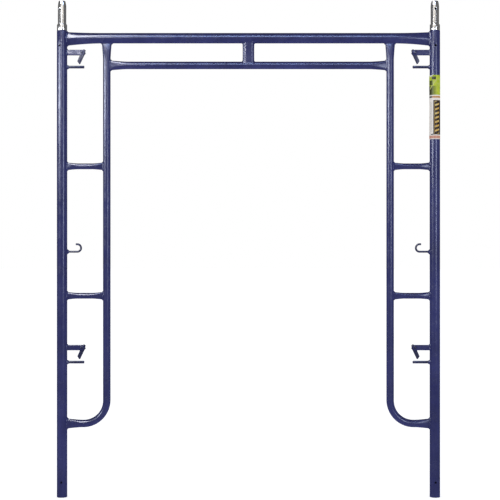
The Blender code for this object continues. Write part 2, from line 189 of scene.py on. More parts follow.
def crushed(distance, radius, crush):
    """Half height, half depth and squareness of a tube at a distance from its weld."""
    end_half, length, power, square = crush
    if not end_half:
        return radius, radius, 2.0
    left = max(0.0, 1.0 - max(distance, 0.0) / length) ** power
    half = radius + (end_half - radius) * left
    depth = math.sqrt(max(2 * radius ** 2 - half ** 2, 0.01 * radius ** 2)) * (1 - 0.07 * left)
    return half, depth, 2 + (square - 2) * left ** 0.7


def unit(rows):
    """Each row scaled to a length of one."""
    return rows / np.linalg.norm(rows, axis=1)[:, None]


def off_axis(points, rod):
    """The points' offsets from a rod (its axis, a point on it), square to the axis."""
    axis, origin = rod
    away = points - origin
    return away - np.outer(away @ axis, axis)


def slide_onto(points, along, rod, radius):
    """Points slid along a direction onto a rod of this radius, on the side they face."""
    axis = rod[0]
    away = off_axis(points, rod)
    way = along - (along @ axis) * axis
    a, b, c = way @ way, away @ way, (away ** 2).sum(1) - radius ** 2
    t = (-b + np.sqrt(np.maximum(b * b - a * c, 0))) / a
    return points + np.outer(t, along)


def leg_rod(side):
    return Z, np.array([side * LEG_X, 0.0, 0.0])


def post_rod(side):
    return Z, np.array([side * POST_X, 0.0, 0.0])


HEADER_ROD = (X, np.array([0.0, 0.0, HEADER_Z]))
LEDGER_ROD = (X, np.array([0.0, 0.0, LEDGER_Z]))


def member(name, start, end, radius, crush, bases, sides=72, sag=0.0):
    """Straight tube between two round ones, crushed at both ends and seated on them."""
    start, end = np.array(start, float), np.array(end, float)
    length = np.linalg.norm(end - start)
    along = (end - start) / length
    tall = Z if abs(along[2]) < 0.5 else X
    deep = np.cross(along, tall)
    near = list(crush[1] * CRUSH_STEPS)
    spots = [0.0] + near + list(np.linspace(crush[1], length - crush[1], 7)[1:-1])
    spots += [length - d for d in reversed(near)] + [length]
    rings = []
    for i, d in enumerate(spots):
        half, depth, square = crushed(min(d, length - d), radius, crush)
        drop = sag * (half - radius) / max(crush[0] - radius, 1e-9)
        ring = oval(start + along * d - Z * drop, tall, deep, half, depth, sides, square)
        if i == 0:
            ring = slide_onto(ring, along, bases[0][0], bases[0][1] - SEAT)
        if i == len(spots) - 1:
            ring = slide_onto(ring, -along, bases[1][0], bases[1][1] - SEAT)
        rings.append(ring)
    return loft(name, rings)


# ---- pieces and what they stand for --------------------------------------------------------
PIECES = []


def place(obj, body, slot, *nodes):
    """Puts obj on a body, with its finish, in place of the nodes it stands for."""
    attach(obj, body)
    if nodes:
        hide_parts(*nodes)
    PIECES.append((obj, slot))


# ---- weld beads ------------------------------------------------------------------------------
BEAD_STEP = 0.62 * MM                     # from one ring of a bead to the next
BEAD_ROOT = 1.2 * MM                      # how deep a bead reaches into the corner
BEAD_SINK = 0.3 * MM                      # how deep its two edges sit
RIPPLE_PITCH, RIPPLE_RISE = 2.7 * MM, 0.38 * MM


class Welds:
    """Beads gathered into one piece."""

    def __init__(self):
        self.verts, self.faces = [], []

    def run(self, path, out, rod, base_r, to_base, to_member, swell, closed=True):
        """One rippled bead on a rod of radius base_r. path lies on both surfaces, and out
        points away from the member."""
        if closed:
            path, out = np.vstack([path, path[:1]]), np.vstack([out, out[:1]])
        step = np.linalg.norm(np.diff(path, axis=0), axis=1)
        total = step.sum()
        at = np.concatenate([[0], np.cumsum(step)])
        count = max(24, int(total / BEAD_STEP))
        s = np.linspace(0, total, count, endpoint=not closed)
        path = np.stack([np.interp(s, at, path[:, k]) for k in range(3)], 1)
        out = unit(np.stack([np.interp(s, at, out[:, k]) for k in range(3)], 1))
        face = unit(off_axis(path, rod))
        dot = (face * out).sum(1)[:, None]
        on_base, on_member = unit(out - face * dot), unit(face - out * dot)
        bulge = unit(face + out)
        phase = RNG.uniform(0, 6.28)
        turns = 2 * np.pi / total * s
        wander = 1 + 0.09 * np.sin(3 * turns + phase) + 0.06 * np.sin(7 * turns + 2 * phase)
        foot = path + on_base * (to_base * wander)[:, None]
        flat = off_axis(foot, rod)
        gone = np.linalg.norm(flat, axis=1)[:, None]
        foot = foot - flat * (1 - (base_r - BEAD_SINK) / gone)
        top = path + on_member * (to_member * wander)[:, None] - out * BEAD_SINK
        ripples = max(6, round(total / RIPPLE_PITCH))
        rows = [path - bulge * BEAD_ROOT]
        for u in np.linspace(0, 1, 8):
            wave = np.abs(np.sin(np.pi * ripples * s / total + 1.3 * (2 * u - 1) ** 2)) - 0.6
            rise = (swell + RIPPLE_RISE * wave) * 4 * u * (1 - u)
            rows.append(foot * (1 - u) + top * u + bulge * rise[:, None])
        rings = np.stack(rows, 1)
        verts, faces = skin(rings, closed, sum(len(v) for v in self.verts))
        self.verts.append(verts)
        self.faces += faces

    def around(self, centre, along, tall, half_tall, half_deep, square, rod, base_r,
               to_base=4.6 * MM, to_member=5.0 * MM, swell=0.7 * MM):
        """A bead all round an oval tube that leaves a rod in the direction along."""
        deep = np.cross(along, tall)
        ring = oval(centre, tall, deep, half_tall, half_deep, 360, square)
        chord = np.roll(ring, -1, 0) - np.roll(ring, 1, 0)
        out = unit(np.cross(chord, along))
        if ((ring - ring.mean(0)) * out).sum() < 0:
            out = -out
        path = slide_onto(ring, along, rod, base_r)
        self.run(path, out, rod, base_r, to_base, to_member, swell)

    def finish(self, name):
        return mesh_object(name, np.vstack(self.verts), self.faces, 60)


WELDS = {word: Welds() for word in ("left", "right", "middle")}


def weld_end(welds, centre, along, tall, radius, crush, rod, base_r, sag=0.0, **sizes):
    """A bead round the crushed end of a tube."""
    half, depth, square = crushed(0.0, radius, crush)
    welds.around(np.asarray(centre) - Z * sag, along, tall, half, depth, square, rod, base_r,
                 **sizes)


# ---- turned pieces ---------------------------------------------------------------------------
def rounded(points, radius, parts=4):
    """A closed 2-D outline with its corners rounded."""
    points = np.asarray(points, float)
    found = []
    for i, p in enumerate(points):
        a, b = points[i - 1] - p, points[(i + 1) % len(points)] - p
        la, lb = np.linalg.norm(a), np.linalg.norm(b)
        r = radius[i] if hasattr(radius, "__len__") else radius
        cut = min(r, 0.48 * la, 0.48 * lb)
        if cut < 1e-6:
            found.append(p)
            continue
        start, end = p + a / la * cut, p + b / lb * cut
        for t in np.linspace(0, 1, parts + 1):
            found.append(start * (1 - t) ** 2 + 2 * p * t * (1 - t) + end * t ** 2)
    return np.array(found)


def turned(name, profile, centre, axis=Z, sides=96, loop=True):
    """A profile of (radius, height) points spun about an axis through centre."""
    side = X if abs(axis[0]) < 0.5 else Y
    other = np.cross(axis, side)
    turn = 2 * np.pi * (np.arange(sides) + 0.5) / sides
    ring = np.outer(np.cos(turn), side) + np.outer(np.sin(turn), other)
    rings = [np.asarray(centre) + ring * max(r, 0.02 * MM) + np.asarray(axis) * h
             for r, h in profile]
    return loft(name, rings, loop)


def banded(profile, heights, reach=5.2 * MM):
    """A profile with points added just above and below each hole, so that a hole spoils the
    smooth shading of no more than a short band."""
    found = []
    for a, b in zip(profile, list(profile[1:]) + [profile[0]]):
        found.append(a)
        marks = [z for h in heights for z in (h - reach, h + reach)
                 if min(a[1], b[1]) < z < max(a[1], b[1])]
        for z in sorted(marks, reverse=bool(b[1] < a[1])):
            share = (z - a[1]) / (b[1] - a[1])
            found.append((a[0] + (b[0] - a[0]) * share, z))
    return found


def hole_cutter(centre, turn, side, radius=HOLE_R, length=0.1):
    """A rod that cuts a hole from front to back, its front turned outward."""
    way = np.array([-side * math.sin(turn), math.cos(turn), 0.0])
    across = np.cross(way, Z)
    return loft("cutter", [oval(np.asarray(centre) + way * d, Z, across, radius, radius, 40)
                           for d in (-length / 2, length / 2)])


def make_legs():
    wall, top_hole = 2.6 * MM, LEG_TOP - HOLE_INSET
    for word, side in SIDES:
        outline = [(LEG_R, LEG_TOP), (LEG_R, 0.0), (LEG_R - wall, 0.0), (LEG_R - wall, LEG_TOP)]
        profile = banded(rounded(outline, 0.7 * MM, 3), (HOLE_INSET, top_hole))
        leg = turned(word + "_leg_tube", profile, (side * LEG_X, 0, 0))
        cut_away(leg, [hole_cutter((side * LEG_X, 0, HOLE_INSET), 0.0, side),
                       hole_cutter((side * LEG_X, 0, top_hole), TOP_TURN[word], side)])
        ease_edges(leg, 0.35 * MM)
        place(leg, "frame", "blue_paint", word + "_leg")


def make_pins():
    wall, fit = 3.0 * MM, 0.1 * MM            # fit is the gap between pin and collar
    for word, side in SIDES:
        node, ring_node = word + "_coupling_pin", word + "_pin_collar"
        axis = (side * LEG_X, 0, 0)
        bottom, top = low(node)[2], high(node)[2]
        radius = (high(node)[0] - low(node)[0]) / 2
        upper = [(radius - 3.8 * MM, top), (radius - 1.6 * MM, top - 8 * MM),
                 (radius, top - 20 * MM)]
        outer = upper + [(r, top + bottom - z) for r, z in reversed(upper)]
        inner = [(r - wall, z) for r, z in reversed(outer)]
        taper = [1.3, 5, 7]
        ease = [e * MM for e in (taper + taper[::-1]) * 2]
        collar_low, collar_top = low(ring_node)[2], high(ring_node)[2]
        holes = (collar_top + HOLE_INSET, LEG_TOP - HOLE_INSET)
        profile = banded(rounded(outer + inner, ease), holes)
        pin = turned(word + "_pin_tube", profile, axis, sides=80)
        cut_away(pin, [hole_cutter((side * LEG_X, 0, z), TOP_TURN[word], side) for z in holes])
        ease_edges(pin, 0.3 * MM)
        place(pin, word + "_pin", "zinc", node)

        outside, inside = (high(ring_node)[0] - low(ring_node)[0]) / 2, radius + fit
        ring = [(outside, collar_top), (outside, collar_low), (inside, collar_low),
                (inside, collar_top)]
        profile = rounded(ring, [2.6 * MM, 1.6 * MM, 0.3 * MM, 0.8 * MM], 5)
        place(turned(word + "_collar_ring", profile, axis), word + "_pin", "zinc", ring_node)


# ---- crossing members --------------------------------------------------------------------------
def make_crossings():
    leg_face, post_face = LEG_X - LEG_R, POST_X - TUBE_R
    place(member("header_tube", (-leg_face, 0, HEADER_Z), (leg_face, 0, HEADER_Z), HEADER_R,
                 HEADER_CRUSH, ((leg_rod(-1), LEG_R), (leg_rod(1), LEG_R)), 96, HEADER_SAG),
          "frame", "blue_paint", "header")
    place(member("ledger_tube", (-post_face, 0, LEDGER_Z), (post_face, 0, LEDGER_Z), TUBE_R,
                 LEDGER_CRUSH, ((post_rod(-1), TUBE_R), (post_rod(1), TUBE_R))),
          "frame", "blue_paint", "ledger")
    for word, side in SIDES:
        weld_end(WELDS[word], (side * leg_face, 0, HEADER_Z), -side * X, Z, HEADER_R,
                 HEADER_CRUSH, leg_rod(side), LEG_R, HEADER_SAG)
        weld_end(WELDS[word], (side * post_face, 0, LEDGER_Z), -side * X, Z, TUBE_R,
                 LEDGER_CRUSH, post_rod(side), TUBE_R)
        outer, inner = side * leg_face, side * (POST_X + TUBE_R)
        for level in LEVELS:
            node = "%s_%s_rung" % (word, level)
            z = middle(node)[2]
            place(member(node + "_tube", (outer, 0, z), (inner, 0, z), RUNG_R, RUNG_CRUSH,
                         ((leg_rod(side), LEG_R), (post_rod(side), TUBE_R)), 64),
                  "frame", "blue_paint", node)
            for x, way, rod, r in ((outer, -side, leg_rod(side), LEG_R),
                                   (inner, side, post_rod(side), TUBE_R)):
                weld_end(WELDS[word], (x, 0, z), way * X, Z, RUNG_R, RUNG_CRUSH, rod, r,
                         to_base=4.0 * MM, to_member=4.4 * MM)


def make_spacer():
    """A flattened tube between ledger and header, a little slimmer at half height."""
    low_z, high_z = LEDGER_Z + TUBE_R, HEADER_Z - HEADER_R
    half, depth, square = SPACER
    rings = []
    spots = [low_z] + list(np.linspace(low_z + 1.5 * MM, high_z - 1.5 * MM, 14)) + [high_z]
    for i, z in enumerate(spots):
        pinch = 1 - 0.015 * math.sin(math.pi * (z - low_z) / (high_z - low_z))
        ring = oval((0, 0, z), X, Y, half * pinch, depth, 96, square)
        if i == 0:
            ring = slide_onto(ring, Z, LEDGER_ROD, TUBE_R - SEAT)
        if i == len(spots) - 1:
            ring = slide_onto(ring, -Z, HEADER_ROD, HEADER_R - SEAT)
        rings.append(ring)
    place(loft("header_spacer_tube", rings), "frame", "blue_paint", "header_spacer")
    for z, way, rod, r in ((low_z, Z, LEDGER_ROD, TUBE_R), (high_z, -Z, HEADER_ROD, HEADER_R)):
        WELDS["middle"].around((0, 0, z), way, X, half, depth, square, rod, r, 3.2 * MM,
                               3.6 * MM, 0.5 * MM)


def post_rings(side):
    """Rings of an inner post: down from the header, round the bend, and out to the leg."""
    outward, top, foot = side * X, HEADER_Z - HEADER_R, side * (LEG_X - LEG_R)
    bend_z = POST_FOOT_Z + BEND_R
    rings = []

    def add(point, tall, distance, crush):
        half, depth, square = crushed(distance, TUBE_R, crush)
        rings.append(oval(point, tall, Y, half, depth, 72, square))

    for d in [0.0] + list(POST_TOP_CRUSH[1] * CRUSH_STEPS):
        add((side * POST_X, 0, top - d), outward, d, POST_TOP_CRUSH)
    for z in np.linspace(top - POST_TOP_CRUSH[1], bend_z, 12)[1:-1]:
        add((side * POST_X, 0, z), outward, 1.0, NO_CRUSH)
    hub = np.array([side * (POST_X + BEND_R), 0, bend_z])
    for angle in np.linspace(0, math.pi / 2, 25):
        spoke = -outward * math.cos(angle) - Z * math.sin(angle)
        flat = 1 - 0.035 * math.sin(2 * angle)     # a bend flattens a tube a little
        rings.append(oval(hub + spoke * BEND_R, -spoke, Y, TUBE_R * flat, TUBE_R * (2 - flat)))
    for d in list(POST_FOOT_CRUSH[1] * CRUSH_STEPS[::-1]) + [0.0]:
        add((foot - side * d, 0, POST_FOOT_Z), Z, d, POST_FOOT_CRUSH)
    rings[0] = slide_onto(rings[0], -Z, HEADER_ROD, HEADER_R - SEAT)
    rings[-1] = slide_onto(rings[-1], -outward, leg_rod(side), LEG_R - SEAT)
    return rings


def make_posts():
    for word, side in SIDES:
        place(loft(word + "_inner_post_tube", post_rings(side)), "frame", "blue_paint",
              word + "_inner_post")
        weld_end(WELDS[word], (side * POST_X, 0, HEADER_Z - HEADER_R), -Z, X, TUBE_R,
                 POST_TOP_CRUSH, HEADER_ROD, HEADER_R)
        weld_end(WELDS[word], (side * (LEG_X - LEG_R), 0, POST_FOOT_Z), -side * X, Z, TUBE_R,
                 POST_FOOT_CRUSH, leg_rod(side), LEG_R)


# ---- brace locks ---------------------------------------------------------------------------------
def outward_normals(outline):
    """Unit normals of a closed 2-D outline that point away from it."""
    chord = np.roll(outline, -1, 0) - np.roll(outline, 1, 0)
    normal = np.stack([chord[:, 1], -chord[:, 0]], 1)
    normal /= np.maximum(np.linalg.norm(normal, axis=1), 1e-12)[:, None]
    nxt = np.roll(outline, -1, 0)
    area = (outline[:, 0] * nxt[:, 1] - nxt[:, 0] * outline[:, 1]).sum()
    return normal if area > 0 else -normal


def slab(name, outline, half, edge, centre):
    """A plate in the X-Z plane with rounded rims. edge is one radius, or one for each point."""
    outline = np.asarray(outline, float)
    edge = np.broadcast_to(np.asarray(edge, float), (len(outline),))
    normal = outward_normals(outline)
    rings = []
    for way in (-1, 1):
        for angle in np.linspace(0, math.pi / 2, 6)[::-way]:
            inset = edge * (1 - math.sin(angle))
            depth = way * (half - edge * (1 - math.cos(angle)))
            flat = outline - normal * inset[:, None]
            rings.append(np.stack([flat[:, 0], depth, flat[:, 1]], 1) + np.asarray(centre))
    return loft(name, rings)


def arc(radius, start, stop, parts):
    """Points along an arc about the origin, its ends in degrees."""
    turn = np.radians(np.linspace(start, stop, parts + 1))
    return [(radius * math.cos(t), radius * math.sin(t)) for t in turn]


LOCK_TALL = 10.75 * MM                    # half the channel's height
LOCK_PLATE = 3.0 * MM
LOCK_SLOT = 4.4 * MM                      # half the gap between the cheeks
LOCK_DEEP = LOCK_SLOT + LOCK_PLATE        # half the channel's depth
LOCK_EASE = 2.8 * MM                      # radius along the channel's top edges
RIVET_HOLE_R = 3.8 * MM
CLEAR = 30.0 * MM                         # how far from the pivot the cutters reach


def make_channel(name, pivot, inward):
    """A plate bent over the top, open below, its cheeks rounded about the pivot."""
    root = LEG_R - 2.2 * MM - (LEG_X - abs(pivot[0]))
    top = [(x, LOCK_TALL) for x in np.linspace(root, 0.5 * MM, 24)]
    nose = arc(LOCK_TALL, 88, -90, 34)
    bottom = [(x, -LOCK_TALL) for x in np.linspace(0, root, 12)[1:]]
    outline = np.array(top + nose + bottom)
    edge = np.full(len(outline), 0.5 * MM)
    edge[:len(top)] = LOCK_EASE
    edge[len(top):len(top) + 6] = np.linspace(LOCK_EASE, 0.5 * MM, 6)
    outline[:, 0] *= inward
    channel = slab(name + "channel", outline, LOCK_DEEP, edge, pivot)

    ceiling = LOCK_TALL - LOCK_PLATE
    groove = rounded([(-LOCK_SLOT, ceiling), (LOCK_SLOT, ceiling), (LOCK_SLOT, -CLEAR),
                      (-LOCK_SLOT, -CLEAR)], [1.3 * MM, 1.3 * MM, 0, 0])
    nose_gap = [(-LOCK_SLOT, CLEAR), (LOCK_SLOT, CLEAR), (LOCK_SLOT, -CLEAR),
                (-LOCK_SLOT, -CLEAR)]
    cutters = []
    for section, start in ((groove, root - 10 * MM), (nose_gap, 2.6 * MM)):
        cutters.append(loft("cutter", [[(pivot[0] + x * inward, y, pivot[2] + z)
                                        for y, z in section] for x in (start, CLEAR)]))
    cutters.append(hole_cutter(pivot, 0.0, -inward, RIVET_HOLE_R, 0.08))
    cut_away(channel, cutters)
    place(channel, "frame", "blue_paint", name + "lock_channel")


def weld_channel(welds, pivot, side):
    """A bead over the channel's three closed sides."""
    corner = rounded([(-LOCK_DEEP, -LOCK_TALL), (-LOCK_DEEP, LOCK_TALL), (LOCK_DEEP, LOCK_TALL),
                      (LOCK_DEEP, -LOCK_TALL)], [0, LOCK_EASE, LOCK_EASE, 0], 8)
    dense = [corner[0]]
    for a, b in zip(corner, corner[1:]):
        parts = max(1, int(np.linalg.norm(b - a) / (1.0 * MM)))
        dense += [a + (b - a) * k / parts for k in range(1, parts + 1)]
    dense = np.array(dense)
    chord = np.gradient(dense, axis=0)
    out = unit(np.stack([np.zeros(len(dense)), -chord[:, 1], chord[:, 0]], 1))
    ring = np.stack([np.full(len(dense), side * (LEG_X - LEG_R)), dense[:, 0],
                     dense[:, 1] + pivot[2]], 1)
    path = slide_onto(ring, -side * X, leg_rod(side), LEG_R)
    welds.run(path, out, leg_rod(side), LEG_R, 3.6 * MM, 4.2 * MM, 0.7 * MM, False)


def make_lever(name, pivot, inward):
    """A forged bar that hangs from the rivet, drawn for the left side."""
    points = [(6.5, 13.7), (9.4, 13.0), (15.3, 9.0), (12.7, 1.9), (15.2, -4.2), (9.5, -10.7),
              (-6.6, -45.2), (-8.6, -47.3), (-11.2, -47.4), (-18.6, -36.2), (-18.3, -33.8),
              (-7.9, -10.5)]
    points += arc(7.1, 200, 100, 8) + [(2.95, 7.2)]
    sizes = [2.0] * 3 + [3.0] + [2.5] * 2 + [2.0] * 3 + [2.5] * 3 + [0.8] * 9 + [0.4]
    outline = rounded(np.array(points) * MM, np.array(sizes) * MM)
    lever = slab(name + "lever_bar", outline, 4.0 * MM, 1.1 * MM, pivot)
    cut_away(lever, [hole_cutter(pivot, 0.0, -1, RIVET_HOLE_R, 0.04)])
    if inward < 0:
        turn_over(lever, pivot[0])
    place(lever, name + "lever", "dark_paint", name + "lock_lever")


def make_rivet(name, pivot):
    """A shank with a domed head on each cheek."""
    face = LOCK_DEEP + 0.15 * MM
    dome = [(6.3 * MM * math.cos(t), face + 0.5 * MM + 1.8 * MM * math.sin(t))
            for t in np.linspace(0, math.pi / 2, 10)]
    one_end = [(3.5 * MM, face), (6.0 * MM, face)] + dome
    profile = [(r, -h) for r, h in reversed(one_end)] + one_end
    place(turned(name + "rivet", profile, pivot, Y, 48, False), "frame", "dark_paint",
          name + "lever_rivet")


def make_stud(name, welds, side):
    """The stud that holds a brace: a rod with a chamfered tip and a cone of weld."""
    node, radius, inward = name + "brace_stud", 5.6 * MM, -side * X
    tip = high(node)[0] if side < 0 else low(node)[0]
    long = abs(tip - side * LEG_X)
    start = np.array([side * LEG_X, 0.0, middle(node)[2]])
    profile = [(radius, LEG_R - 2.0 * MM), (radius, long - 1.2 * MM),
               (5.2 * MM, long - 0.5 * MM), (4.5 * MM, long)]
    place(turned(name + "stud", profile, start, inward, 48, False), "frame", "dark_paint", node)
    welds.around(start + inward * LEG_R, inward, Z, radius, radius, 2.0, leg_rod(side), LEG_R,
                 4.2 * MM, 7.6 * MM, 0.1 * MM)


def make_lock(word, side, level):
    name = "%s_%s_" % (word, level)
    pivot = np.array(PIVOTS[name + "lever"], float)
    make_channel(name, pivot, -side)
    weld_channel(WELDS[word], pivot, side)
    make_lever(name, pivot, -side)
    make_rivet(name, pivot)
    make_stud(name, WELDS[word], side)


# ---- hooks ------------------------------------------------------------------------------------------
def make_hook(word, side):
    """A rod that runs in from the leg and turns up and back on itself."""
    rod, bend, reach = 4.0 * MM, 15.3 * MM, 62.4 * MM
    z = low(word + "_hook")[2] + rod
    inward = -side * X
    path, facing = [], []

    def add(x, rise, way):
        path.append(np.array([side * LEG_X, 0, z]) + inward * x + Z * rise)
        facing.append(inward * way[0] + Z * way[1])

    for x in np.linspace(LEG_R - 2.0 * MM, reach, 12)[:-1]:
        add(x, 0.0, (1, 0))
    for angle in np.radians(np.linspace(-90, 90, 36)):
        add(reach + bend * math.cos(angle), bend + bend * math.sin(angle),
            (-math.sin(angle), math.cos(angle)))
    for x in (2.0, 4.0, 5.4, 5.8, 6.0):
        add(reach - x * MM, 2 * bend, (-1, 0))
    rings = []
    for i, (p, way) in enumerate(zip(path, facing)):
        r = rod * {len(path) - 1: 0.82, len(path) - 2: 0.94}.get(i, 1.0)
        rings.append(oval(p, Y, np.cross(way, Y), r, r, 32))
    place(loft(word + "_hook_rod", rings), "frame", "dark_paint", word + "_hook")
    WELDS[word].around(path[0] + inward * 2.0 * MM, inward, Z, rod, rod, 2.0, leg_rod(side),
                       LEG_R, 8.0 * MM, 9.0 * MM, -0.5 * MM)


# ---- label ----------------------------------------------------------------------------------------
LABEL_WRAP = math.radians(98)             # how far it reaches round the leg on each side
LABEL_LAYERS = (0.12 * MM, 0.42 * MM)     # its back and its front, above the leg
LABEL_CELLS = (56, 90)                    # across and up


def label_point(u, v, layer, bottom, tall):
    """A point of the label; its left edge lifts, its right edge a little, and it ripples."""
    lift = 1.3 * MM * max(0.0, 1 - u / 0.10) ** 2 * (0.7 + 0.3 * math.sin(9 * v))
    lift += 0.25 * MM * max(0.0, (u - 0.93) / 0.07) ** 2
    lift += 0.10 * MM * max(0.0, math.sin(23 * v + 5 * u)) * abs(2 * u - 1)
    r = LEG_R + layer + lift
    turn = -math.pi / 2 + LABEL_WRAP * (2 * u - 1)
    return LEG_X + r * math.cos(turn), r * math.sin(turn), bottom + tall * v


def make_label():
    """Thin printed vinyl wrapped round the leg."""
    bottom, top = low("label")[2], high("label")[2]
    across, up = LABEL_CELLS
    width = across + 1
    count = width * (up + 1)
    verts = [label_point(i / across, j / up, layer, bottom, top - bottom)
             for layer in LABEL_LAYERS for j in range(up + 1) for i in range(width)]
    faces = []
    for j in range(up):
        for i in range(across):
            a = j * width + i
            faces.append((a, a + 1, a + width + 1, a + width))
            faces.append((count + a, count + a + width, count + a + width + 1, count + a + 1))
    rim = list(range(across)) + [j * width + across for j in range(up)]
    rim += [up * width + i for i in range(across, 0, -1)] + [j * width for j in range(up, 0, -1)]
    for a, b in zip(rim, rim[1:] + rim[:1]):
        faces.append((a, b, count + b, count + a))
    label = mesh_object("printed_label", verts, faces, 60)
    uv = label.data.uv_layers.new(name="print")
    for loop in label.data.loops:
        k = loop.vertex_index % count
        uv.data[loop.index].uv = ((k % width) / across, (k // width) / up)
    place(label, "frame", "label_print", "label")


# ---- materials ----------------------------------------------------------------------------------------
class Paint:
    """A node material, written as a short list of steps."""

    def __init__(self, name):
        self.mat = bpy.data.materials.new(name)
        self.mat.use_nodes = True
        self.tree = self.mat.node_tree
        self.shader = self.tree.nodes["Principled BSDF"]
        self.where = self.tree.nodes.new("ShaderNodeTexCoord").outputs["Object"]

    def put(self, socket, value):
        if isinstance(value, bpy.types.NodeSocket):
            self.tree.links.new(value, socket)
        elif hasattr(socket.default_value, "__len__") and len(socket.default_value) == 4:
            socket.default_value = (*value[:3], 1.0)
        else:
            socket.default_value = value

    def set(self, **values):
        for name, value in values.items():
            self.put(self.shader.inputs[name.replace("_", " ")], value)

    def math(self, operation, a, b=0.0):
        node = self.tree.nodes.new("ShaderNodeMath")
        node.operation = operation
        self.put(node.inputs[0], a)
        self.put(node.inputs[1], b)
        return node.outputs[0]

    def mix(self, share, a, b):
        node = self.tree.nodes.new("ShaderNodeMix")
        node.data_type = "RGBA"
        self.put(node.inputs["Factor"], share)
        self.put(node.inputs[6], a)
        self.put(node.inputs[7], b)
        return node.outputs[2]

    def stretch(self, x, y, z):
        """Coordinates for marks that run long where the number is small."""
        node = self.tree.nodes.new("ShaderNodeMapping")
        node.inputs["Scale"].default_value = (x, y, z)
        self.put(node.inputs["Vector"], self.where)
        return node.outputs[0]

    def noise(self, scale, detail=3.0, vector=None):
        node = self.tree.nodes.new("ShaderNodeTexNoise")
        node.inputs["Scale"].default_value = scale
        node.inputs["Detail"].default_value = detail
        node.inputs["Roughness"].default_value = 0.55
        self.put(node.inputs["Vector"], vector or self.where)
        return node.outputs["Fac"]

    def cells(self, scale, output="Distance"):
        node = self.tree.nodes.new("ShaderNodeTexVoronoi")
        node.inputs["Scale"].default_value = scale
        self.put(node.inputs["Vector"], self.where)
        return node.outputs[output]

    def span(self, value, low_in, high_in, low_out=0.0, high_out=1.0):
        """A value read between two marks and clamped to two others."""
        node = self.tree.nodes.new("ShaderNodeMapRange")
        self.put(node.inputs["Value"], value)
        for name, x in (("From Min", low_in), ("From Max", high_in), ("To Min", low_out),
                        ("To Max", high_out)):
            node.inputs[name].default_value = x
        return node.outputs["Result"]

    def part(self, vector, which):
        node = self.tree.nodes.new("ShaderNodeSeparateXYZ")
        self.put(node.inputs[0], vector)
        return node.outputs[which]

    def bump(self, *layers):
        """layers of (height, strength, distance in metres)"""
        normal = None
        for height, strength, distance in layers:
            node = self.tree.nodes.new("ShaderNodeBump")
            node.inputs["Strength"].default_value = strength
            node.inputs["Distance"].default_value = distance
            self.put(node.inputs["Height"], height)
            if normal:
                self.put(node.inputs["Normal"], normal)
            normal = node.outputs[0]
        self.put(self.shader.inputs["Normal"], normal)


def enamel(name, deep, light, wear, roughness):
    """Dipped enamel: uneven tone, runs, orange peel, and small chips and scuffs.

    A lower wear spreads the chips over more of it."""
    p = Paint(name)
    tone = p.noise(7.0, 4.0)
    runs = p.noise(1.0, 2.0, p.stretch(120, 120, 5))
    blend = p.math("ADD", p.math("MULTIPLY", tone, 0.7), p.math("MULTIPLY", runs, 0.3))
    colour = p.mix(p.span(blend, 0.36, 0.64), deep, light)
    mottle = p.noise(160.0, 3.0)
    colour = p.mix(p.span(mottle, 0.5, 0.8, 0.0, 0.30), colour, [0.6 * c for c in deep])
    specks = p.span(p.cells(95.0), 0.085, 0.045)
    patches = p.span(p.noise(9.0, 2.0), wear, wear + 0.06)
    chips = p.math("MULTIPLY", specks, patches)
    scrape = p.span(p.noise(1.0, 4.0, p.stretch(620, 620, 38)), 0.70, 0.76)
    scrape = p.math("MULTIPLY", scrape, p.span(p.noise(4.0, 2.0), wear - 0.02, wear + 0.08))
    marks = p.math("MAXIMUM", chips, p.math("MULTIPLY", scrape, 0.55))
    bare = (0.30, 0.31, 0.42)
    colour = p.mix(marks, colour, bare)
    p.set(Base_Color=colour)
    rough = p.span(p.noise(30.0, 4.0), 0.3, 0.7, roughness - 0.05, roughness + 0.09)
    p.set(Roughness=p.math("ADD", rough, p.math("MULTIPLY", marks, 0.2)))
    peel = p.noise(420.0, 2.0)
    p.bump((peel, 0.015, 0.4 * MM), (runs, 0.06, 0.35 * MM), (marks, -0.15, 0.10 * MM))
    return p.mat


def zinc():
    """Bright zinc on drawn tube: fine lines along it, faint spangle, a few dull spots, and painted shade
    inside the bore.
    """
    p = Paint("bright_zinc")
    lines = p.noise(1.0, 3.0, p.stretch(900, 900, 14))
    spangle = p.cells(130.0, output="Color")
    dull = p.span(p.noise(38.0, 4.0), 0.54, 0.72)
    colour = p.mix(p.span(lines, 0.3, 0.7), (0.72, 0.70, 0.66), (0.56, 0.54, 0.51))
    colour = p.mix(p.math("MULTIPLY", dull, 0.45), colour, (0.42, 0.42, 0.41))
    # painted shade: the inside of the bore is painted near-black, standing in for the shade in the
    # hollow tube
    x, y, z = (p.part(p.where, k) for k in range(3))
    from_axis = p.math("SUBTRACT", p.math("ABSOLUTE", x), LEG_X)
    squared = p.math("ADD", p.math("POWER", from_axis, 2.0), p.math("POWER", y, 2.0))
    below = p.math("LESS_THAN", z, high("left_coupling_pin")[2] - 9.0 * MM)
    inside = p.math("MULTIPLY", p.math("LESS_THAN", squared, (14.6 * MM) ** 2), below)
    colour = p.mix(inside, colour, (0.05, 0.048, 0.045))
    p.set(Base_Color=colour, Metallic=0.8)
    rough = p.span(lines, 0.3, 0.7, 0.09, 0.12)
    rough = p.math("ADD", rough, p.math("MULTIPLY", dull, 0.03))
    p.set(Roughness=p.math("ADD", rough, p.math("MULTIPLY", p.part(spangle, 0), 0.01)))
    p.bump((p.noise(60.0, 2.0), 0.02, 0.3 * MM))
    return p.mat


